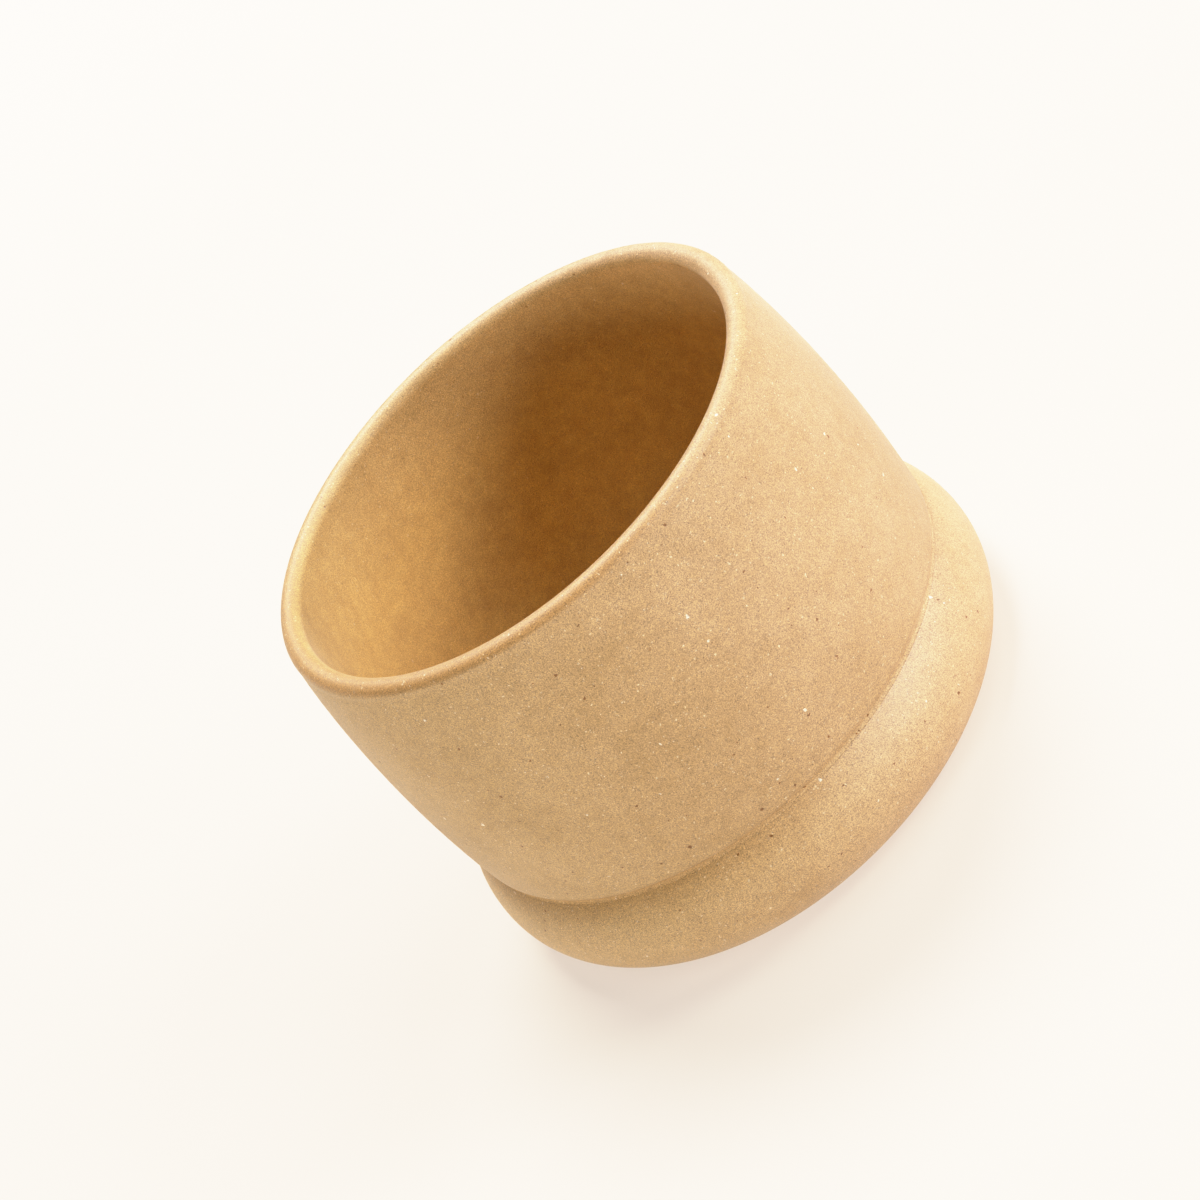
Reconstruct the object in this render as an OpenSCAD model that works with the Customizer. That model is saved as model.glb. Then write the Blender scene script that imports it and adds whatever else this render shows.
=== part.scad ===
// Handleless stoneware teacup: a thrown cup that stands in a fat foot ring and is bonded to it with slip.
// Millimetres, +Z up. The origin is on the cup's axis, at the table that it stands on.

/* [Cup body] */
// Diameter across the lip
rim_d = 80; // [64:0.5:100]
// Height of the lip above the table
cup_h = 63.4; // [58:0.2:90]
// Radius of the rounded lip, half the lip's thickness
lip_round = 1.65; // [1:0.05:1.8]
// How far the belly swells past the lip, all round
belly_swell = 2.3; // [1.9:0.1:5]
// Height of the belly's widest line above the table
belly_z = 34.6; // [30:0.2:40]
// Thickness of the wall at the belly
wall_t = 3.6; // [2.8:0.1:4.4]
// Thickness of the floor
floor_t = 5; // [3.5:0.1:7]
// Radius inside, where the wall turns into the floor
inside_round = 18; // [14:0.5:22]
// Radius of the heel, the bottom edge of the wall
heel_round = 2; // [1.4:0.1:2.8]
// How far the spigot under the wall is set in from the belly
spigot_in = 3.8; // [3.4:0.1:5]
// Radius of the spigot's bottom edge
spigot_round = 10; // [7:0.5:11]

/* [Foot ring] */
// How far the foot stands out past the belly, all round
foot_out = 1.7; // [0.8:0.1:3]
// Height of the foot's widest line above the table
foot_z = 9.5; // [8.5:0.1:11]
// Radius of the foot's section above its widest line
foot_top_round = 13; // [11.5:0.1:15]
// Radius of the foot's section below its widest line
foot_low_round = 10.3; // [9.7:0.1:12]
// Width of the foot from its widest line in to the recess
foot_w = 15; // [13:0.1:18]
// Radius on the edge of the recess
recess_round = 1.5; // [0.5:0.1:3]
// Height of the recess under the floor
recess_h = 6; // [5:0.1:8]

/* [Slip joint] */
// Height of the wall's bottom edge above the foot's widest line
crease_rise = 8.2; // [7.6:0.1:8.8]
// Thickness of the slip between body and foot
slip_t = 0.5; // [0.3:0.05:0.8]
// Radius of the slip wiped into the crease
crease_round = 0.8; // [0.5:0.1:1.5]
// Number of rings scored in the seat to key the slip
score_count = 3; // [1:1:4]
// Depth of each scored ring
score_depth = 0.6; // [0.3:0.1:1]
// Width of each scored ring
score_w = 0.9; // [0.5:0.1:1.2]
// Distance from one scored ring to the next, along the seat
score_pitch = 2.4; // [1.6:0.1:2.8]
// Slope of the seat at the innermost ring, in degrees
score_from = 20; // [15:1:30]

/* [Hidden] */
$fn = 120;

belly_r = rim_d / 2 + belly_swell;
floor_z = recess_h + floor_t;
// Longer than any outline reaches from the axis or the table
reach = rim_d + cup_h;

// The lip is a full round, and the wall's two arcs run into it without a corner
lip_c = [rim_d / 2 - lip_round, cup_h - lip_round];
lip_rise = lip_c.y - belly_z;
wall_out = belly_r - lip_c.x;
wall_in = wall_out - wall_t;
wall_r = (lip_rise ^ 2 + wall_out ^ 2 - lip_round ^ 2) / (2 * (wall_out - lip_round));
cavity_r = (lip_rise ^ 2 + wall_in ^ 2 - lip_round ^ 2) / (2 * (wall_in + lip_round));
wall_c = [belly_r - wall_r, belly_z];
cavity_c = [belly_r - wall_t - cavity_r, belly_z];

// Heel and inside corner touch the wall's arcs from within
ledge_z = foot_z + crease_rise;
heel_c = nested(wall_c, wall_r, heel_round, ledge_z + heel_round);
inside_c = nested(cavity_c, cavity_r, inside_round, floor_z + inside_round);

// The spigot goes down from the ledge behind the heel
spigot_r = belly_r - spigot_in;
spigot_c = [spigot_r - spigot_round, recess_h + spigot_round];

foot_r = belly_r + foot_out;
foot_top_c = [foot_r - foot_top_round, foot_z];
foot_low_c = [foot_r - foot_low_round, foot_z];
recess_r = foot_r - foot_w;

// The wiped slip touches heel and foot from outside
crease_c = outside_both(heel_c, heel_round + crease_round, foot_top_c, foot_top_round + crease_round);

// Centre, at height z, of a circle of radius r that touches a larger circle from within
function nested(big_c, big_r, r, z) = [big_c.x + sqrt((big_r - r) ^ 2 - (z - big_c.y) ^ 2), z];

// Direction from one point to another, in degrees
function heading(from, to) = atan2(to.y - from.y, to.x - from.x);

// The outer point at given distances from two centres
function outside_both(c1, d1, c2, d2) =
    let (gap = norm(c2 - c1))
    let (turn = heading(c1, c2) + acos((d1 ^ 2 + gap ^ 2 - d2 ^ 2) / (2 * d1 * gap)))
    c1 + d1 * [cos(turn), sin(turn)];

// What rounding a corner takes off: a sector about the rounding's centre, outside its circle
module corner_waste(c, r, from, to) {
    steps = 3;
    far = 4 * r;
    translate(c)
        difference() {
            polygon([
                [0, 0],
                for (i = [0:steps])
                    let (turn = from + (to - from) * i / steps)
                    far * [cos(turn), sin(turn)]
            ]);
            circle(r = r);
        }
}

// The wall, filled in to the axis, down to the ledge that rests on the foot
module wall_outline(grow) {
    difference() {
        intersection() {
            translate(wall_c)
                circle(r = wall_r + grow);
            translate([0, ledge_z - grow])
                square([reach, cup_h - ledge_z + grow]);
        }
        corner_waste(heel_c, heel_round + grow, -90, heading(wall_c, heel_c));
    }
}

// The spigot, filled in to the axis, from the ledge down to the recess
module spigot_outline(grow) {
    difference() {
        translate([0, recess_h - grow])
            square([spigot_r + grow, ledge_z + heel_round - recess_h + grow]);
        corner_waste(spigot_c, spigot_round + grow, -90, 0);
    }
}

// Everything inside the body's outer surface, grown by a thickness
module outside_outline(grow = 0) {
    wall_outline(grow);
    spigot_outline(grow);
}

// The hollow that holds the tea, open at the top
module cavity_outline() {
    difference() {
        intersection() {
            translate(cavity_c)
                circle(r = cavity_r);
            translate([0, floor_z])
                square([reach, reach]);
        }
        corner_waste(inside_c, inside_round, -90, heading(cavity_c, inside_c));
    }
}

// Half of the foot's section: the part of a circle on one side of the widest line
module foot_arc(c, r, side) {
    intersection() {
        translate(c)
            circle(r = r);
        translate([recess_r, side > 0 ? foot_z : 0])
            square([reach, side > 0 ? reach : foot_z]);
    }
}

// The foot before the body's seat is cut in it
module foot_outline() {
    difference() {
        union() {
            foot_arc(foot_top_c, foot_top_round, 1);
            foot_arc(foot_low_c, foot_low_round, -1);
            translate([recess_r, 0])
                square([foot_low_c.x - recess_r, foot_z]);
        }
        corner_waste([recess_r + recess_round, recess_round], recess_round, 180, 270);
    }
}

// V-shaped rings scored square to the seat, from the recess outwards
module score_marks() {
    score_turn = score_pitch / (spigot_round + slip_t) * 180 / PI;
    translate(spigot_c)
        for (i = [0:score_count - 1])
            rotate(score_from - 90 + i * score_turn)
                translate([spigot_round + slip_t, 0])
                    polygon([[-slip_t / 2, -score_w / 2], [score_depth, 0], [-slip_t / 2, score_w / 2]]);
}

// The foot as it is joined: the body's seat and the scored rings cut in it
module ring_outline() {
    difference() {
        foot_outline();
        outside_outline(slip_t);
        score_marks();
    }
}

// Room for slip between body and foot, and in the crease as far as a round wiping tool
module slip_room() {
    intersection() {
        foot_outline();
        union() {
            outside_outline(slip_t);
            score_marks();
        }
    }
    difference() {
        polygon([crease_c, heel_c, foot_top_c]);
        translate(crease_c)
            circle(r = crease_round);
    }
}

module cup_body() {
    color("#CFA572")
        rotate_extrude()
            difference() {
                outside_outline();
                cavity_outline();
                corner_waste(lip_c, lip_round, heading(wall_c, lip_c), 360 + heading(lip_c, cavity_c));
            }
}

module foot_ring() {
    color("#D9B384")
        rotate_extrude()
            ring_outline();
}

module slip_joint() {
    color("#B98E5B")
        rotate_extrude()
            difference() {
                slip_room();
                outside_outline();
                ring_outline();
            }
}

cup_body();
foot_ring();
slip_joint();
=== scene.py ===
# %% [markdown]
# A handleless stoneware teacup
#
# The real cup was thrown in unglazed stoneware: a barrel-shaped cup that stands in a fat foot ring,
# with a line of slip between the two. The construction is already made, to size, and is loaded here
# as a fixed frame. This lesson dresses it. Each piece is turned again as a fine mesh that can carry a
# potter's small unevenness, and the clay gets its grain, its specks and its dusty bloom.

# %% Load the frame
import math

import bpy
import numpy as np
from mathutils import Matrix, Vector, noise


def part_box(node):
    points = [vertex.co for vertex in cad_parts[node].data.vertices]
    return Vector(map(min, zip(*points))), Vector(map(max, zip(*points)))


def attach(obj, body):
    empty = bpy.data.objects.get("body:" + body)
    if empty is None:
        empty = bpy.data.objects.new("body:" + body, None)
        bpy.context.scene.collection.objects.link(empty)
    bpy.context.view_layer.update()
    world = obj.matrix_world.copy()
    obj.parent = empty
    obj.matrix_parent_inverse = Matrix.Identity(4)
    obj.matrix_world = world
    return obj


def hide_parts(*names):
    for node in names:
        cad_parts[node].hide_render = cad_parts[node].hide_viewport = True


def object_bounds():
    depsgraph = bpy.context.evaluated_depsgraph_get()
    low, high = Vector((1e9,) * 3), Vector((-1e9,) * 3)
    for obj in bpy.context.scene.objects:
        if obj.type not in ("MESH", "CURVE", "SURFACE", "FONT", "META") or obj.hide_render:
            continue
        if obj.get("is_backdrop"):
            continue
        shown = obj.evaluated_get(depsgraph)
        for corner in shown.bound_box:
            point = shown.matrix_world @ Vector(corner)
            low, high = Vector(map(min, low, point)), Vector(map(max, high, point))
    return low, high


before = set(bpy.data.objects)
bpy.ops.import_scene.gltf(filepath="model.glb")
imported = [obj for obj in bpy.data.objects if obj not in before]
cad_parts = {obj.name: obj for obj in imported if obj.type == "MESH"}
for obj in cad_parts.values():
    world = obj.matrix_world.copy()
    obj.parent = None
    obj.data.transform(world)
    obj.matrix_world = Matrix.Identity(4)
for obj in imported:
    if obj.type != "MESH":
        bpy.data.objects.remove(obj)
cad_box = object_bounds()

print("pieces in the frame:", sorted(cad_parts))

# %% [markdown]
# Sizes
#
# Everything in the frame is in metres, while a potter measures in millimetres, so one constant turns
# one into the other. The outer sizes come from the frame's own boxes. The rest are the sizes that the
# potter chose, and they are checked against the frame further down.

# %% Sizes of the cup
MM = 0.001

body_low, body_high = (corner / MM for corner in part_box("cup_body"))
foot_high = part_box("foot_ring")[1] / MM

cup_height = body_high.z
belly_radius = body_high.x
recess_height = body_low.z
foot_radius = foot_high.x

rim_radius = 40.0
lip_round = 1.65
belly_height = 34.6
wall_thickness = 3.6
floor_thickness = 5.0
inside_round = 18.0
heel_round = 2.0
spigot_inset = 3.8
spigot_round = 10.0

foot_height = 9.5
foot_top_round = 13.0
foot_low_round = 10.3
foot_width = 15.0
recess_round = 1.5

crease_rise = 8.2
slip_thickness = 0.5
crease_round = 0.8

print(f"the cup is {cup_height:.1f} mm high")
print(f"it is {2 * belly_radius:.1f} mm wide at the belly and {2 * foot_radius:.1f} mm at the foot")

# %% [markdown]
# The profile, drawn with arcs
#
# A turned piece is a profile swept round an axis, so the profile decides everything. A curve with
# Bezier handles would be quick, but a potter's ribs and trimming tools leave true arcs that run into
# each other without a corner. So the profile is drawn as arcs: each has a centre, a radius and two
# directions, and its points lie evenly along it. A point is (distance from the axis, height).

# %% Arcs and straight lines
def heading(start, end):
    """Direction from one point to another, in degrees."""
    return math.degrees(math.atan2(end[1] - start[1], end[0] - start[0]))


def arc(centre, radius, start, end, spacing):
    """Points along an arc from one direction to another, in degrees, both ends included."""
    count = max(2, math.ceil(math.radians(abs(end - start)) * radius / spacing))
    along = np.radians(np.linspace(start, end, count + 1))
    return np.column_stack([centre[0] + radius * np.cos(along), centre[1] + radius * np.sin(along)])


def line(start, end, spacing):
    """Points along a straight line, both ends included."""
    count = max(1, math.ceil(math.dist(start, end) / spacing))
    return np.linspace(start, end, count + 1)


def joined(*runs):
    """One profile from runs that follow each other, without the points that two runs share."""
    same = 0.01
    points = [runs[0][0]]
    for point in np.concatenate(runs)[1:]:
        if math.dist(point, points[-1]) > same:
            points.append(point)
    return np.array(points)


# %% [markdown]
# Where the arcs have their centres
#
# The wall is two long arcs, one outside and one inside, both widest at the belly. They have to run into
# the lip's round without a corner, and that alone fixes their radii. The heel outside and the large
# round inside touch the wall's arcs from within.

# %% Centres of the wall's arcs
def wall_arc(bulge, lip_gap):
    """Radius of an arc, widest at the belly, that runs into the lip's round."""
    return (lip_rise**2 + bulge**2 - lip_round**2) / (2 * (bulge - lip_gap))


def nested(big_centre, big_radius, radius, height):
    """Centre, at a height, of a circle that touches a larger one from within."""
    reach = math.sqrt((big_radius - radius) ** 2 - (height - big_centre[1]) ** 2)
    return (big_centre[0] + reach, height)


lip_centre = (rim_radius - lip_round, cup_height - lip_round)
lip_rise = lip_centre[1] - belly_height

outer_bulge = belly_radius - lip_centre[0]
outer_radius = wall_arc(outer_bulge, lip_round)
outer_centre = (belly_radius - outer_radius, belly_height)

inner_bulge = outer_bulge - wall_thickness
inner_radius = wall_arc(inner_bulge, -lip_round)
inner_centre = (belly_radius - wall_thickness - inner_radius, belly_height)

ledge_height = foot_height + crease_rise
floor_height = recess_height + floor_thickness
heel_centre = nested(outer_centre, outer_radius, heel_round, ledge_height + heel_round)
inside_centre = nested(inner_centre, inner_radius, inside_round, floor_height + inside_round)

spigot_radius = belly_radius - spigot_inset
spigot_centre = (spigot_radius - spigot_round, recess_height + spigot_round)

print(f"the wall's arcs have radii of {outer_radius:.1f} mm outside and {inner_radius:.1f} mm inside")

# %% [markdown]
# The thrown cup
#
# This is the piece the hand meets: wall, lip, floor, and the spigot under the wall that drops into the
# foot ring. Its profile starts on the axis below, turns out round the spigot and the heel, climbs the
# outside, rolls over the lip and comes down the inside to the axis again. The lip was pressed round
# with a strip of wet leather, which leaves a faint step under it, so the outside falls back a little
# there and comes out again.

# %% Profile of the cup
# Distances between the points of a profile
fine, medium, coarse, wide = 0.3, 0.5, 0.75, 1.2
# How far the outside falls back under the lip, and over what length it falls and comes out again
lip_step = 0.14
step_length = 0.2
step_fade = 2.5

lip_out = heading(outer_centre, lip_centre)
lip_in = heading(inner_centre, lip_centre)
heel_out = heading(outer_centre, heel_centre)
inside_out = heading(inner_centre, inside_centre)

underside = joined(
    line((0, recess_height), (spigot_centre[0], recess_height), wide),
    arc(spigot_centre, spigot_round, -90, 0, wide),
    line((spigot_radius, spigot_centre[1]), (spigot_radius, ledge_height), wide),
    line((spigot_radius, ledge_height), (heel_centre[0], ledge_height), fine),
    arc(heel_centre, heel_round, -90, heel_out, fine),
)
outside = arc(outer_centre, outer_radius, heel_out, lip_out, medium)
lip = arc(lip_centre, lip_round, lip_out, 180 + lip_in, fine)
inside = joined(
    arc(inner_centre, inner_radius, lip_in, inside_out, coarse),
    arc(inside_centre, inside_round, inside_out, -90, coarse),
    line((inside_centre[0], floor_height), (0, floor_height), wide),
)

below_lip = outside[-1, 1] - outside[:, 1]
fall = (1 - np.exp(-below_lip / step_length)) * np.exp(-below_lip / step_fade)
outside[:, 0] -= lip_step * fall

cup_profile = joined(underside, outside, lip, inside)
print(len(cup_profile), "points in the cup's profile")

# %% [markdown]
# Wiped clay and painted shade
#
# Drying leaves a pale, dusty bloom on clay, and water takes it off again. The inside was wiped with a
# sponge, from the crown of the lip down, and most of all deep down where the sponge went round and
# round. Its more saturated tone is partly painted shade as well, for the dim warm light deep in the
# hollow. The lip gets painted shade, a darker tone on its outer face and crown, most of all in front on
# the left, which the lamps leave in shade. So each point gets two marks between 0 and 1, which the
# material reads later. One changes along the profile only. The other changes round the cup as well, and
# has a value for each of the steps in which the meshes are turned further down.

# %% Mark the wiped clay and the painted shade
# Degrees round the lip's section: where the sponge began, how soon its mark and the painted shade are full
wiped_from, wiped_fade = 120.0, 40.0
lip_shade_fade = 25.0
# How deep below the lip the sponge's mark, partly painted shade, is full, and its share at the lip
wiped_depth = 18.0
wiped_at_lip = 0.4
# Side of the cup where the lip's painted shade is strongest, in degrees from +X
lip_shade_side = -140
# A share round the cup: its value between the two sides, and its swing to each of them
side_middle, side_swing = 0.5, 0.8
# Steps in a turn
segments = 360
turns = np.arange(segments) * 2 * math.pi / segments


def one_side(direction):
    """Shares round the cup: 1 on one side, 0 opposite. The direction is in degrees from +X."""
    return np.clip(side_middle + side_swing * np.cos(turns - math.radians(direction)), 0, 1)


from_lip = cup_profile - lip_centre
round_lip = np.degrees(np.arctan2(from_lip[:, 1], from_lip[:, 0])) % 360
past_crown = np.clip((round_lip - wiped_from) / wiped_fade, 0, 1)
depth = np.clip((cup_height - cup_profile[:, 1]) / wiped_depth, 0, 1)
# Wiped clay, fuller deeper down; its more saturated tone is partly painted shade of the hollow
cup_wiped = past_crown * (wiped_at_lip + (1 - wiped_at_lip) * depth)
# Painted shade on the lip's outer face and crown, fading where the sponge's mark begins
lip_shade_profile = (1 - past_crown) * np.clip((round_lip - lip_out) / lip_shade_fade, 0, 1)

before_lip = len(joined(underside, outside))
cup_wiped[:before_lip] = 0
lip_shade_profile[:before_lip] = 0
# The lip's painted shade is strongest in front on the left, which the lamps leave in shade
cup_pressed = np.outer(lip_shade_profile, one_side(lip_shade_side))
print(f"{np.count_nonzero(cup_wiped)} points of the profile are wiped, {np.count_nonzero(lip_shade_profile)} pressed")

# %% [markdown]
# The foot ring
#
# The foot is a fat ring, thrown on its own and trimmed. Seen in section it is two arcs that meet at
# its widest line, a flat that stands on the table, a small round into the recess, and a dished seat
# for the spigot. The seat is scored to hold the slip, but slip covers it all, so it is drawn plain.
# Beside the crease the foot gets painted shade where the cup shades it, strongest on the left.

# %% Profile of the foot ring
def crossing(first_centre, first_radius, second_centre, second_radius):
    """The outer one of the two points where two circles cross."""
    gap = math.dist(first_centre, second_centre)
    cosine = (first_radius**2 + gap**2 - second_radius**2) / (2 * first_radius * gap)
    turn = math.radians(heading(first_centre, second_centre)) + math.acos(cosine)
    return (
        first_centre[0] + first_radius * math.cos(turn),
        first_centre[1] + first_radius * math.sin(turn),
    )


def where_recess_cuts(radius):
    """Direction and height at which the recess cuts an arc about the spigot's centre."""
    turn = -math.acos((recess_radius - spigot_centre[0]) / radius)
    return math.degrees(turn), spigot_centre[1] + radius * math.sin(turn)


foot_top_centre = (foot_radius - foot_top_round, foot_height)
foot_low_centre = (foot_radius - foot_low_round, foot_height)
recess_radius = foot_radius - foot_width
recess_centre = (recess_radius + recess_round, recess_round)
rest_radius = foot_low_centre[0] + math.sqrt(foot_low_round**2 - foot_height**2)

seat_round = spigot_round + slip_thickness
seat_radius = spigot_radius + slip_thickness
seat_height = ledge_height - slip_thickness
heel_seat_round = heel_round + slip_thickness
seat_edge = crossing(heel_centre, heel_seat_round, foot_top_centre, foot_top_round)
seat_turn, seat_end = where_recess_cuts(seat_round)

foot_profile = joined(
    arc(foot_low_centre, foot_low_round, heading(foot_low_centre, (rest_radius, 0)), 0, fine),
    arc(foot_top_centre, foot_top_round, 0, heading(foot_top_centre, seat_edge), fine),
    arc(heel_centre, heel_seat_round, heading(heel_centre, seat_edge), -90, fine),
    line((heel_centre[0], seat_height), (seat_radius, seat_height), fine),
    line((seat_radius, seat_height), (seat_radius, spigot_centre[1]), medium),
    arc(spigot_centre, seat_round, 0, seat_turn, medium),
    line((recess_radius, seat_end), (recess_radius, recess_round), medium),
    arc(recess_centre, recess_round, 180, 270, fine),
    line((recess_centre[0], 0), (rest_radius, 0), medium),
)[:-1]

# Strength of the painted shade beside the crease, its width, and the side where it is strongest
crease_shade_strength, crease_reach = 0.6, 3.0
crease_side = 180

from_crease = np.linalg.norm(foot_profile - seat_edge, axis=1)
crease_shade_round = crease_shade_strength * one_side(crease_side)
foot_pressed = np.outer(np.exp(-((from_crease / crease_reach) ** 2)), crease_shade_round)
print(len(foot_profile), "points round the foot's section")

# %% [markdown]
# The slip joint
#
# Slip is clay thinned with water, the potter's glue. It fills the half millimetre between spigot and
# seat, and what is squeezed out is wiped to a small hollow fillet in the crease. Only the fillet and a
# thin edge in the recess show, but the piece is closed, so that it is a real solid.

# %% Profile of the slip
crease_centre = crossing(
    heel_centre, heel_round + crease_round, foot_top_centre, foot_top_round + crease_round
)
heel_touch = heading(heel_centre, crease_centre)
foot_touch = heading(crease_centre, foot_top_centre)
film_turn, film_end = where_recess_cuts(spigot_round)
finest = 0.1

slip_profile = joined(
    arc(crease_centre, crease_round, 360 + foot_touch, 180 + heel_touch, finest),
    arc(heel_centre, heel_round, heel_touch, -90, fine),
    line((heel_centre[0], ledge_height), (spigot_radius, ledge_height), fine),
    line((spigot_radius, ledge_height), (spigot_radius, spigot_centre[1]), medium),
    arc(spigot_centre, spigot_round, 0, film_turn, medium),
    line((recess_radius, film_end), (recess_radius, seat_end), fine),
    arc(spigot_centre, seat_round, seat_turn, 0, medium),
    line((seat_radius, spigot_centre[1]), (seat_radius, seat_height), medium),
    line((seat_radius, seat_height), (heel_centre[0], seat_height), fine),
    arc(heel_centre, heel_seat_round, -90, heading(heel_centre, seat_edge), fine),
    arc(foot_top_centre, foot_top_round, heading(foot_top_centre, seat_edge), 180 + foot_touch, finest),
)[:-1]
# The slip's fillet in the crease gets the same painted shade as the foot beside it
slip_pressed = np.outer(np.ones(len(slip_profile)), crease_shade_round)
print(len(slip_profile), "points round the slip's section")

# %% [markdown]
# A check against the frame
#
# Every corner of a frame solid has a distance from the axis and a height, so it can be laid over the
# profile. The cup may be off by the step under its lip, and foot and slip by the depth of the scored
# rings in the hidden seat. Anything more would mean a wrong size above.

# %% Lay the solids over the profiles
def farthest(node, profile):
    """Largest distance from a corner of the frame's solid to the profile, in millimetres."""
    corners = np.array([corner.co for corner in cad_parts[node].data.vertices]) / MM
    section = np.column_stack([np.hypot(corners[:, 0], corners[:, 1]), corners[:, 2]])
    section = np.unique(section.round(2), axis=0)[:, None]
    along = np.roll(profile, -1, axis=0) - profile
    share = ((section - profile) * along).sum(-1) / (along**2).sum(-1)
    nearest = profile + np.clip(share, 0, 1)[..., None] * along
    return np.linalg.norm(section - nearest, axis=-1).min(axis=1).max()


for node, profile in (
    ("cup_body", cup_profile),
    ("foot_ring", foot_profile),
    ("slip_joint", slip_profile),
):
    print(f"{node}: the solid stays within {farthest(node, profile):.2f} mm of the profile")

# %% [markdown]
# The potter's hand
#
# No thrown cup is perfectly round. This one is a little oval, and its wall wavers by a tenth of a
# millimetre where fingers pressed it. All three pieces move by the same rule, which depends only on
# where a point lies, so the joint between them stays closed. The rest face keeps its height.

# %% Ovality and unevenness
ovality = 0.018
waver = 0.10
waver_length = 26.0
# Within this distance of the axis the waver fades out
axis_reach = 1.0


def by_hand(points):
    """The points, in millimetres, as a hand would have left them."""
    out = points.copy()
    out[:, 0] += ovality * points[:, 1]
    out[:, 1] += ovality * points[:, 0]
    radius = np.maximum(np.hypot(points[:, 0], points[:, 1]), axis_reach)
    push = np.array([noise.noise(Vector(p) / waver_length) for p in points]) * waver
    push *= np.clip(points[:, 2] / foot_height, 0, 1)
    out[:, 0] += push * points[:, 0] / radius
    out[:, 1] += push * points[:, 1] / radius
    return out


# %% [markdown]
# Turning a profile into a mesh
#
# Blender has a Screw modifier and a spin operator for this. Here the rings are placed one by one, because
# then every ring can pass through the potter's rule, and a profile that starts and ends on the axis
# closes with a single point and a fan of faces at each end. All profiles run the same way round their
# clay, so all faces look outwards.

# %% Turn and close
def turned(name, profile, **marks):
    """A closed mesh from a profile that is a loop, or that runs from the axis to the axis."""
    from_axis = profile[0, 0] == 0
    rings = profile[1:-1] if from_axis else profile
    radius, height = np.repeat(rings, segments, axis=0).T
    turn = np.tile(turns, len(rings))
    points = np.column_stack([radius * np.cos(turn), radius * np.sin(turn), height])

    at = np.arange(len(points)).reshape(len(rings), segments)
    lower, upper = (at[:-1], at[1:]) if from_axis else (at, np.roll(at, -1, axis=0))
    corners = (lower, np.roll(lower, -1, axis=1), np.roll(upper, -1, axis=1), upper)
    faces = np.stack(corners, axis=-1).reshape(-1, 4).tolist()
    if from_axis:
        first, last = len(points), len(points) + 1
        points = np.vstack([points, [0, 0, profile[0, 1]], [0, 0, profile[-1, 1]]])
        faces += [(first, b, a) for a, b in zip(at[0], np.roll(at[0], -1))]
        faces += [(last, a, b) for a, b in zip(at[-1], np.roll(at[-1], -1))]

    mesh = bpy.data.meshes.new(name)
    mesh.from_pydata(by_hand(points) * MM, [], faces)
    mesh.shade_smooth()
    for mark, values in marks.items():
        shares = np.broadcast_to(values.reshape(len(profile), -1), (len(profile), segments))
        if from_axis:
            shares = np.append(shares[1:-1], shares[[0, -1], 0])
        mesh.attributes.new(mark, "FLOAT", "POINT").data.foreach_set("value", shares.ravel())
    piece = bpy.data.objects.new(name, mesh)
    bpy.context.scene.collection.objects.link(piece)
    print(f"{name}: {len(mesh.polygons)} faces")
    return piece


# The cup carries wiped clay and painted shade, the foot and the slip painted shade
cup = turned("thrown_cup", cup_profile, wiped=cup_wiped, pressed=cup_pressed)
foot = turned("foot_collar", foot_profile, pressed=foot_pressed)
slip = turned("wiped_slip", slip_profile, pressed=slip_pressed)

# %% [markdown]
# Dressing the frame
#
# Each mesh stands for one piece of the frame, which it hides, and rides on the cup's single body,
# because nothing on a cup moves. The name of each piece's clay is listed beside it and printed.

# %% Ride on the frame
for piece, node, clay in (
    (cup, "cup_body", "body_clay"),
    (foot, "foot_ring", "foot_clay"),
    (slip, "slip_joint", "slip_clay"),
):
    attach(piece, "root")
    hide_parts(node)
    print(f"{piece.name} stands for {node}, in {clay}")

# %% [markdown]
# Colour and nodes
#
# A colour picked from a swatch is an sRGB value, and shaders work in linear light, so one function
# converts it. A second small function adds any shader node, with its settings and its links.

# %% Helpers for materials
def linear(swatch):
    """Linear red, green, blue and alpha from an sRGB hex value."""
    parts = [int(swatch[i : i + 2], 16) / 255 for i in (1, 3, 5)]
    return [p / 12.92 if p <= 0.04045 else ((p + 0.055) / 1.055) ** 2.4 for p in parts] + [1.0]


def add(tree, kind, inputs, **settings):
    """A shader node. Each input gets a link or a value, and settings go to properties of that name."""
    node = tree.nodes.new("ShaderNode" + kind)
    for name, value in settings.items():
        setattr(node, name, value)
    for name, value in inputs.items():
        if isinstance(value, bpy.types.NodeSocket):
            tree.links.new(value, node.inputs[name])
        else:
            node.inputs[name].default_value = value
    return node


# %% [markdown]
# Unglazed stoneware
#
# Stoneware is a sandy clay fired until it is dense. This cup has no glaze, so the eye sees the clay
# itself: tan, matt to satin, clouded by the flame, with a felt-like grain, pale crumbs of grog (ground
# fired clay) and dark iron specks. Grog and iron lie all through the clay and the surface cuts them, so
# all patterns are made in three dimensions and read from the piece's own coordinates. Painted specks
# would look printed; these are round, cut, or only just touched.

# %% Sizes of the patterns
cloud_size = 17.0
mottle_size = 2.2
# Sand in the clay is finer than 0.1 mm. It is drawn as coarse as it needs to show
grain_size = 0.15
bend_size = 0.6
bend_reach = 0.7
cloud_swirl, grain_swirl = 0.4, 0.9
# Layers of finer and finer noise in one pattern
many_layers, few_layers = 3, 1

fleck_spacing, fleck_radii = 0.5, (0.05, 0.17)
iron_spacing, iron_radii = 2.4, (0.10, 0.30)
grog_spacing, grog_radii = 3.4, (0.08, 0.30)
# A crumb is solid out to this share of its radius, and thins out to its edge
crumb_core = 0.5

print(f"flecks {fleck_spacing} mm apart, iron {iron_spacing} mm and grog {grog_spacing} mm")

# %% [markdown]
# Crumbs in the clay
#
# A Voronoi texture scatters one point in each cell. Close to its point a cell becomes a crumb, and the
# cell's random colour decides how large that crumb is. The space is bent a little first, by a noise,
# so that no crumb is a perfect ball.

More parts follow.
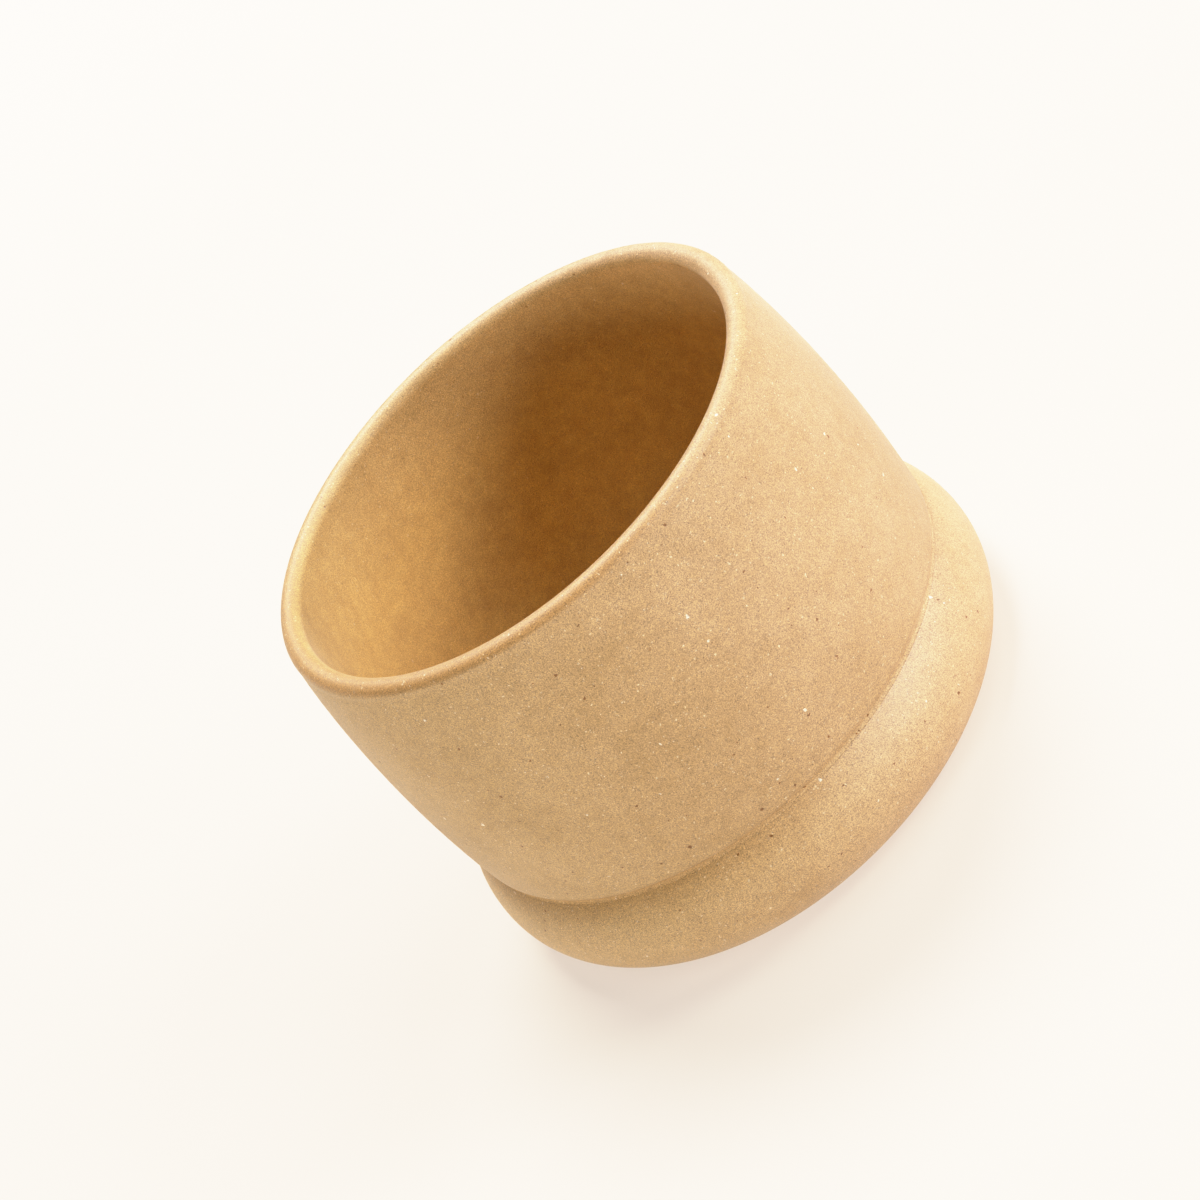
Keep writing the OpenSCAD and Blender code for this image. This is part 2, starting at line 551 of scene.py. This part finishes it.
# %% Crumbs
def crumbs(tree, space, spacing, radii):
    """A mask of crumbs about a spacing apart, with radii between two sizes, and a random value for each."""
    cells = add(tree, "TexVoronoi", {"Vector": space, "Scale": 1 / spacing})
    chance = add(tree, "SeparateColor", {"Color": cells.outputs["Color"]}).outputs
    sizes = {"Value": chance["Green"], "To Min": radii[0] / spacing, "To Max": radii[1] / spacing}
    radius = add(tree, "MapRange", sizes).outputs["Result"]
    share = add(tree, "Math", {0: cells.outputs["Distance"], 1: radius}, operation="DIVIDE").outputs[0]
    edge = {"Value": share, "From Min": 1.0, "From Max": crumb_core}
    mask = add(tree, "MapRange", edge, interpolation_type="SMOOTHSTEP").outputs["Result"]
    return mask, chance["Red"]


# %% [markdown]
# All patterns together
#
# Clouds are tens of millimetres wide, mottling a few, and the grain a fraction of one. Each is a noise
# of its own size. A plain slope across the cup is painted light and shade: the side that the key lamp
# lights stays pale, and the side away from it turns yellower. The last two are the marks on the mesh:
# the sponge's, whose tone is partly painted shade, and the painted shade on the lip and by the crease.
# A piece without a mark counts as having neither.

# %% Patterns of the clay
# The painted slope ends this far past the middle, on the shaded side, as a share of the foot's radius
shade_slope_reach = 0.7


def patterns(tree):
    """Sockets of all patterns, by name, in the piece's own coordinates."""
    place = add(tree, "TexCoord", {}).outputs["Object"]
    space = add(tree, "VectorMath", {0: place, "Scale": 1 / MM}, operation="SCALE").outputs[0]

    noises = {}
    for name, size, layers, swirl in (
        ("clouds", cloud_size, many_layers, cloud_swirl),
        ("mottle", mottle_size, many_layers, 0),
        ("grain", grain_size, few_layers, grain_swirl),
        ("bend", bend_size, few_layers, 0),
    ):
        look = {"Vector": space, "Scale": 1 / size, "Detail": layers, "Distortion": swirl}
        noises[name] = add(tree, "TexNoise", look).outputs
    moves = {0: noises["bend"]["Color"], 1: [bend_reach] * 3, 2: space}
    bent = add(tree, "VectorMath", moves, operation="MULTIPLY_ADD").outputs[0]

    flecks, fleck_kind = crumbs(tree, bent, fleck_spacing, fleck_radii)
    iron, _ = crumbs(tree, bent, iron_spacing, iron_radii)
    grog, _ = crumbs(tree, bent, grog_spacing, grog_radii)
    # Painted light and shade: 0 at the foot's edge on the key lamp's side, +X, and 1 well past the middle
    side = add(tree, "SeparateXYZ", {0: space}).outputs["X"]
    away = {"Value": side, "From Min": foot_radius, "From Max": -shade_slope_reach * foot_radius}
    return {
        "clouds": noises["clouds"]["Fac"],
        "mottle": noises["mottle"]["Fac"],
        "grain": noises["grain"]["Fac"],
        "flecks": flecks,
        "fleck kind": fleck_kind,
        "iron": iron,
        "grog": grog,
        "shaded side": add(tree, "MapRange", away).outputs["Result"],
        # Wiped clay; its tone is partly painted shade of the hollow
        "wiped": add(tree, "Attribute", {}, attribute_name="wiped").outputs["Fac"],
        # Painted shade on the lip and by the crease
        "pressed": add(tree, "Attribute", {}, attribute_name="pressed").outputs["Fac"],
    }


# %% [markdown]
# The clay's colour
#
# Clouds and mottling choose between a deep and a pale tone, and the side away from the key lamp is
# painted yellower, as painted shade. Painted shade on the lip and by the crease has a darker tone of its
# own, and wiped clay a more saturated tone, partly painted shade of the hollow. Few crumbs are left
# where the sponge went. The grain comes last and lightens and darkens everything, crumbs too, because
# it is the sand in them all.
# Each step is a coat over the ones before it, so the coats are listed and then laid on in a loop.

# %% Tones of the clay
cloud_share, mottle_share = 0.55, 0.45
tone_low, tone_high = 0.34, 0.66
# Painted shade: the side away from the key lamp is multiplied by this yellower tint
shaded_side_tint = "#FAFFE2"
# Darker tone of the painted shade on the lip and by the crease
pressed_tone = "#A47C47"
# Tones of wiped clay, more saturated: partly painted shade of the hollow
wiped_deep, wiped_pale = "#AF8849", "#C79F59"
fleck_dark, fleck_pale = "#745024", "#EEDCBA"
iron_tone, grog_tone = "#764814", "#EBDCC4"

# How strongly crumbs show on untouched clay, and how strongly on wiped clay
on_bare = {"flecks": 0.6, "iron": 1.0, "grog": 1.0}
on_wiped = 0.12

# Between two values of the grain, sand darkens and lightens the clay by these factors, less where wiped
sand_low, sand_high = 0.25, 0.75
sand_dark, sand_light = 0.38, 1.62
sand_on_wiped = 0.65

print(f"sand gives {sand_dark} to {sand_light} times the clay's own tone")

# %% Colour
def clay_colour(tree, clay, pale, deep):
    """Colour of the clay, from its patterns and two tones."""
    soft = add(tree, "Math", {0: clay["mottle"], 1: mottle_share}, operation="MULTIPLY").outputs[0]
    both = {0: clay["clouds"], 1: cloud_share, 2: soft}
    tone = add(tree, "Math", both, operation="MULTIPLY_ADD").outputs[0]
    ends = {"Value": tone, "From Min": tone_low, "From Max": tone_high}
    spread = add(tree, "MapRange", ends).outputs["Result"]

    shown = {}
    for crumb, strength in on_bare.items():
        ends = {"Value": clay["wiped"], "To Min": strength, "To Max": on_wiped}
        left = add(tree, "MapRange", ends).outputs["Result"]
        shown[crumb] = add(tree, "Math", {0: clay[crumb], 1: left}, operation="MULTIPLY").outputs[0]
    ends = {"Factor": clay["fleck kind"], "A": linear(fleck_dark), "B": linear(fleck_pale)}
    fleck_tone = add(tree, "Mix", ends, data_type="RGBA").outputs["Result"]
    # Wiped tone, partly painted shade of the hollow
    ends = {"Factor": spread, "A": linear(wiped_deep), "B": linear(wiped_pale)}
    wiped_tone = add(tree, "Mix", ends, data_type="RGBA").outputs["Result"]

    ends = {"From Min": sand_low, "From Max": sand_high, "To Min": sand_dark, "To Max": sand_light}
    sandy = add(tree, "MapRange", {"Value": clay["grain"], **ends}).outputs["Result"]
    ends = {"Value": clay["wiped"], "To Min": 1.0, "To Max": sand_on_wiped}
    sand_share = add(tree, "MapRange", ends).outputs["Result"]

    colour = linear(deep)
    for way, share, coat in (
        ("MIX", spread, linear(pale)),
        # painted shade: the side away from the key lamp turns yellower
        ("MULTIPLY", clay["shaded side"], linear(shaded_side_tint)),
        # painted shade on the lip and by the crease
        ("MIX", clay["pressed"], linear(pressed_tone)),
        # wiped tone, partly painted shade of the hollow
        ("MIX", clay["wiped"], wiped_tone),
        ("MIX", shown["flecks"], fleck_tone),
        ("MIX", shown["iron"], linear(iron_tone)),
        ("MIX", shown["grog"], linear(grog_tone)),
        ("MULTIPLY", sand_share, sandy),
    ):
        links = {"Factor": share, "A": colour, "B": coat}
        colour = add(tree, "Mix", links, data_type="RGBA", blend_type=way).outputs["Result"]
    return colour


# %% [markdown]
# The clay's surface
#
# Bare clay scatters light, yet hands and tools press its fine particles flat, and then it shines a
# little. A sponge lifts them again. So shine is one value for a whole piece, and roughness says where
# it shows. Bloom is a sheen, because dust shows most where the eye skims over it. The relief is a few
# hundredths of a millimetre: sand, mottling, crumbs that stand out and pits where iron burnt away. That
# is too fine for a mesh, so a bump map tilts the light instead.

# %% Surface
# Values of the grain between which roughness rises, and what sand and the sponge add to it
rough_low, rough_high = 0.3, 0.7
sand_roughness = 0.16
wiped_roughness = 0.35
bloom_spread = 0.35
bloom_tint = "#FFF4E8"

# Height of the sand in millimetres, and of the rest as shares of it
relief_height = 0.04
relief_shares = {"mottle": 0.8, "grog": 0.5, "iron": -0.8}


def clay_surface(tree, clay, shader, smoothest, shine, bloom):
    """Roughness from the smoothest up, duller where wiped, one shine and bloom, and the fine relief."""
    sand = {"Value": clay["grain"], "From Min": rough_low, "From Max": rough_high}
    ends = {"To Min": smoothest, "To Max": smoothest + sand_roughness}
    dull = add(tree, "MapRange", {**sand, **ends}).outputs["Result"]
    duller = {0: clay["wiped"], 1: wiped_roughness, 2: dull}
    rough = add(tree, "Math", duller, operation="MULTIPLY_ADD").outputs[0]
    tree.links.new(rough, shader.inputs["Roughness"])
    shader.inputs["Specular IOR Level"].default_value = shine
    shader.inputs["Sheen Weight"].default_value = bloom
    shader.inputs["Sheen Roughness"].default_value = bloom_spread
    shader.inputs["Sheen Tint"].default_value = linear(bloom_tint)

    relief = clay["grain"]
    for pattern, height in relief_shares.items():
        heights = {0: clay[pattern], 1: height, 2: relief}
        relief = add(tree, "Math", heights, operation="MULTIPLY_ADD").outputs[0]
    bump = add(tree, "Bump", {"Height": relief, "Distance": relief_height * MM})
    tree.links.new(bump.outputs["Normal"], shader.inputs["Normal"])


# %% [markdown]
# One clay, three finishes
#
# All three pieces are the same stoneware. The foot was trimmed with a metal loop when leather-hard, so
# it is the smoothest. The cup was thrown and left alone, and has the most bloom on it. The slip is finer
# clay that was wiped wet and never trimmed, so it dried the dullest.

# %% Clays of the three pieces
def stoneware(name, pale, deep, smoothest, shine, bloom):
    """Bare stoneware between two tones."""
    material = bpy.data.materials.new(name)
    material.use_nodes = True
    tree = material.node_tree
    shader = tree.nodes["Principled BSDF"]
    clay = patterns(tree)
    tree.links.new(clay_colour(tree, clay, pale, deep), shader.inputs["Base Color"])
    clay_surface(tree, clay, shader, smoothest, shine, bloom)
    print(f"{name}: {len(tree.nodes)} nodes")
    return material


for piece, name, pale, deep, smoothest, shine, bloom in (
    (cup, "thrown stoneware", "#BA9772", "#AA875D", 0.46, 0.85, 0.28),
    (foot, "trimmed stoneware", "#C5A17B", "#B59067", 0.42, 0.95, 0.06),
    (slip, "fired slip", "#C5A582", "#B79570", 0.55, 0.50, 0.06),
):
    piece.data.materials.append(stoneware(name, pale, deep, smoothest, shine, bloom))

# %% [markdown]
# The studio: a light table
#
# Small pots are often shot on a light table: a sheet of milky plastic, lit from below. It is pale all
# over, throws light up under the foot and takes only a soft shadow. So the floor glows a little and
# reflects a little, and it glows more farther out, where the lamps give less.

# %% Floor
floor_size = 12.0
glow_near, glow_far = 0.60, 1.36
glow_from, glow_to = 0.3, 2.0

half = floor_size / 2
floor_mesh = bpy.data.meshes.new("floor")
floor_corners = [(-half, -half, 0), (half, -half, 0), (half, half, 0), (-half, half, 0)]
floor_mesh.from_pydata(floor_corners, [], [(0, 1, 2, 3)])
floor = bpy.data.objects.new("floor", floor_mesh)
bpy.context.scene.collection.objects.link(floor)
floor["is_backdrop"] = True

milky = bpy.data.materials.new("milky acrylic, lit from below")
milky.use_nodes = True
milky_tree = milky.node_tree
milky_shader = milky_tree.nodes["Principled BSDF"]
milky_shader.inputs["Base Color"].default_value = linear("#A89889")
milky_shader.inputs["Roughness"].default_value = 1.0
milky_shader.inputs["Specular IOR Level"].default_value = 0.0
milky_shader.inputs["Emission Color"].default_value = linear("#FFF5EA")
milky_place = add(milky_tree, "TexCoord", {}).outputs["Object"]
milky_far = add(milky_tree, "VectorMath", {0: milky_place}, operation="LENGTH").outputs["Value"]
milky_range = {"From Min": glow_from, "From Max": glow_to, "To Min": glow_near, "To Max": glow_far}
milky_glow = add(milky_tree, "MapRange", {"Value": milky_far, **milky_range}).outputs["Result"]
milky_tree.links.new(milky_glow, milky_shader.inputs["Emission Strength"])
floor.data.materials.append(milky)
print(f"floor: {floor_size} m wide, glow {glow_near} near the cup and {glow_far} farther out")

# %% [markdown]
# The backdrop
#
# Behind a light table hangs pale paper. A sheet of it could stand at the floor's edge, but the world
# does the same with less: it is as pale as the floor where the camera sees it. It gives the cup no
# light, because light from all round would wash out the dark inside.

# %% Backdrop
backdrop_glow = 1.45

world = bpy.data.worlds.new("studio")
world.use_nodes = True
world_tree = world.node_tree
backdrop = world_tree.nodes["Background"]
backdrop.inputs["Color"].default_value = linear("#FFEEDD")
seen = add(world_tree, "LightPath", {}).outputs["Is Camera Ray"]
paleness = add(world_tree, "Math", {0: seen, 1: backdrop_glow}, operation="MULTIPLY").outputs[0]
world_tree.links.new(paleness, backdrop.inputs["Strength"])
bpy.context.scene.world = world
print(f"backdrop: strength {backdrop_glow}, for the camera alone")

# %% [markdown]
# Lamps
#
# Four lamps are round softboxes. The key and a lower one on the right shine over the lip, so that they
# light the far left of the inside and leave the near right dark. One behind draws the lip, and a weak
# one fills the left. Two windows, far off and low, light little but the outside: the front one puts the
# broad highlight on the foot, and the left one fills that side. They are made as sun lamps with a wide
# angle, because softboxes so low would leave bright patches on the floor. The two fills leave no
# highlight, and the camera sees none of the lamps.

# %% Softboxes and windows
lamp_distance = 1.6
cup_middle = Vector((0, 0, cup_height / 2)) * MM


def hang(kind, name, azimuth, elevation, power, shines):
    """A lamp that looks at the cup. Azimuth 0 is in front and 90 on the right, in degrees."""
    lamp = bpy.data.lights.new(name, kind)
    lamp.energy = power
    turn, rise = math.radians(azimuth), math.radians(elevation)
    level = math.cos(rise)
    towards = Vector((math.sin(turn) * level, -math.cos(turn) * level, math.sin(rise)))
    holder = bpy.data.objects.new(name, lamp)
    holder.location = cup_middle + towards * lamp_distance
    holder.rotation_euler = (-towards).to_track_quat("-Z", "Y").to_euler()
    holder.visible_camera = False
    holder.visible_glossy = shines
    bpy.context.scene.collection.objects.link(holder)
    print(f"{name}: azimuth {azimuth}, elevation {elevation}, strength {power}")
    return lamp


for name, azimuth, elevation, width, power, shines in (
    ("key", 100, 48, 1.0, 13, True),
    ("right", 70, 32, 0.6, 16.5, True),
    ("back", 165, 62, 0.8, 39, True),
    ("over the left shoulder", 330, 60, 0.8, 3.4, False),
):
    softbox = hang("AREA", name, azimuth, elevation, power, shines)
    softbox.shape = "DISK"
    softbox.size = width

for name, azimuth, elevation, angle, power, shines in (
    ("front window", 47, 15, 20, 1.75, True),
    ("left window", 284, 6, 14, 1.83, False),
):
    window = hang("SUN", name, azimuth, elevation, power, shines)
    window.angle = math.radians(angle)

# %% [markdown]
# The camera
#
# The photograph looks down into the cup by about 31 degrees and leans by 43, which makes the cup seem
# to hover. Here the lean is the camera's own roll about its line of sight, so that the cup can stand
# upright on its foot. A long lens, fairly close, gives the photograph's mild perspective.

# %% Camera
aim = Vector((-3.55, 0, 36.1)) * MM
view_height = 30.92
view_roll = 42.96
view_distance = 421.7 * MM
focal_length, sensor_width = 90, 36

lens = bpy.data.cameras.new("camera")
lens.lens = focal_length
lens.sensor_width = sensor_width
camera = bpy.data.objects.new("camera", lens)
pitch = Matrix.Rotation(math.radians(90 - view_height), 4, "X")
roll = Matrix.Rotation(math.radians(-view_roll), 4, "Z")
camera.matrix_world = Matrix.Translation(aim) @ pitch @ roll @ Matrix.Translation((0, 0, view_distance))
bpy.context.scene.collection.objects.link(camera)
bpy.context.scene.camera = camera
print(f"camera: {view_height} degrees up, rolled by {view_roll}, {view_distance:.3f} m away")

# %% [markdown]
# Tone
#
# A camera doesn't clip bright light at once. It bends it over a soft shoulder, which also makes strong
# highlights on warm clay paler. The Standard view keeps plain values, and a curve adds the shoulder.

# %% Shoulder
white = 2.0
shoulder = 0.7
knots = (0.35, 0.7, 0.85, 1.0, 1.2, 1.5)

view = bpy.context.scene.view_settings
view.view_transform = "Standard"
view.use_curve_mapping = True
curve = view.curve_mapping
curve.white_level = (white, white, white)
combined = curve.curves[3]
for light in knots:
    over = max(0.0, light - shoulder) / (1 - shoulder)
    shown = min(light, shoulder) + (1 - shoulder) * (1 - math.exp(-over))
    combined.points.new(light / white, shown)
curve.update()
print(f"light above {shoulder} is bent over, and {white} is white")

# %% [markdown]
# Sizes at the end
#
# The dressed cup has to fill the same box as the frame. Both boxes are written down side by side.

# %% Sizes of the frame and of the dressed cup
visual_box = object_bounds()
for title, box in (("frame", cad_box), ("dressed", visual_box)):
    print(title, [[round(value / MM, 2) for value in corner] for corner in box])
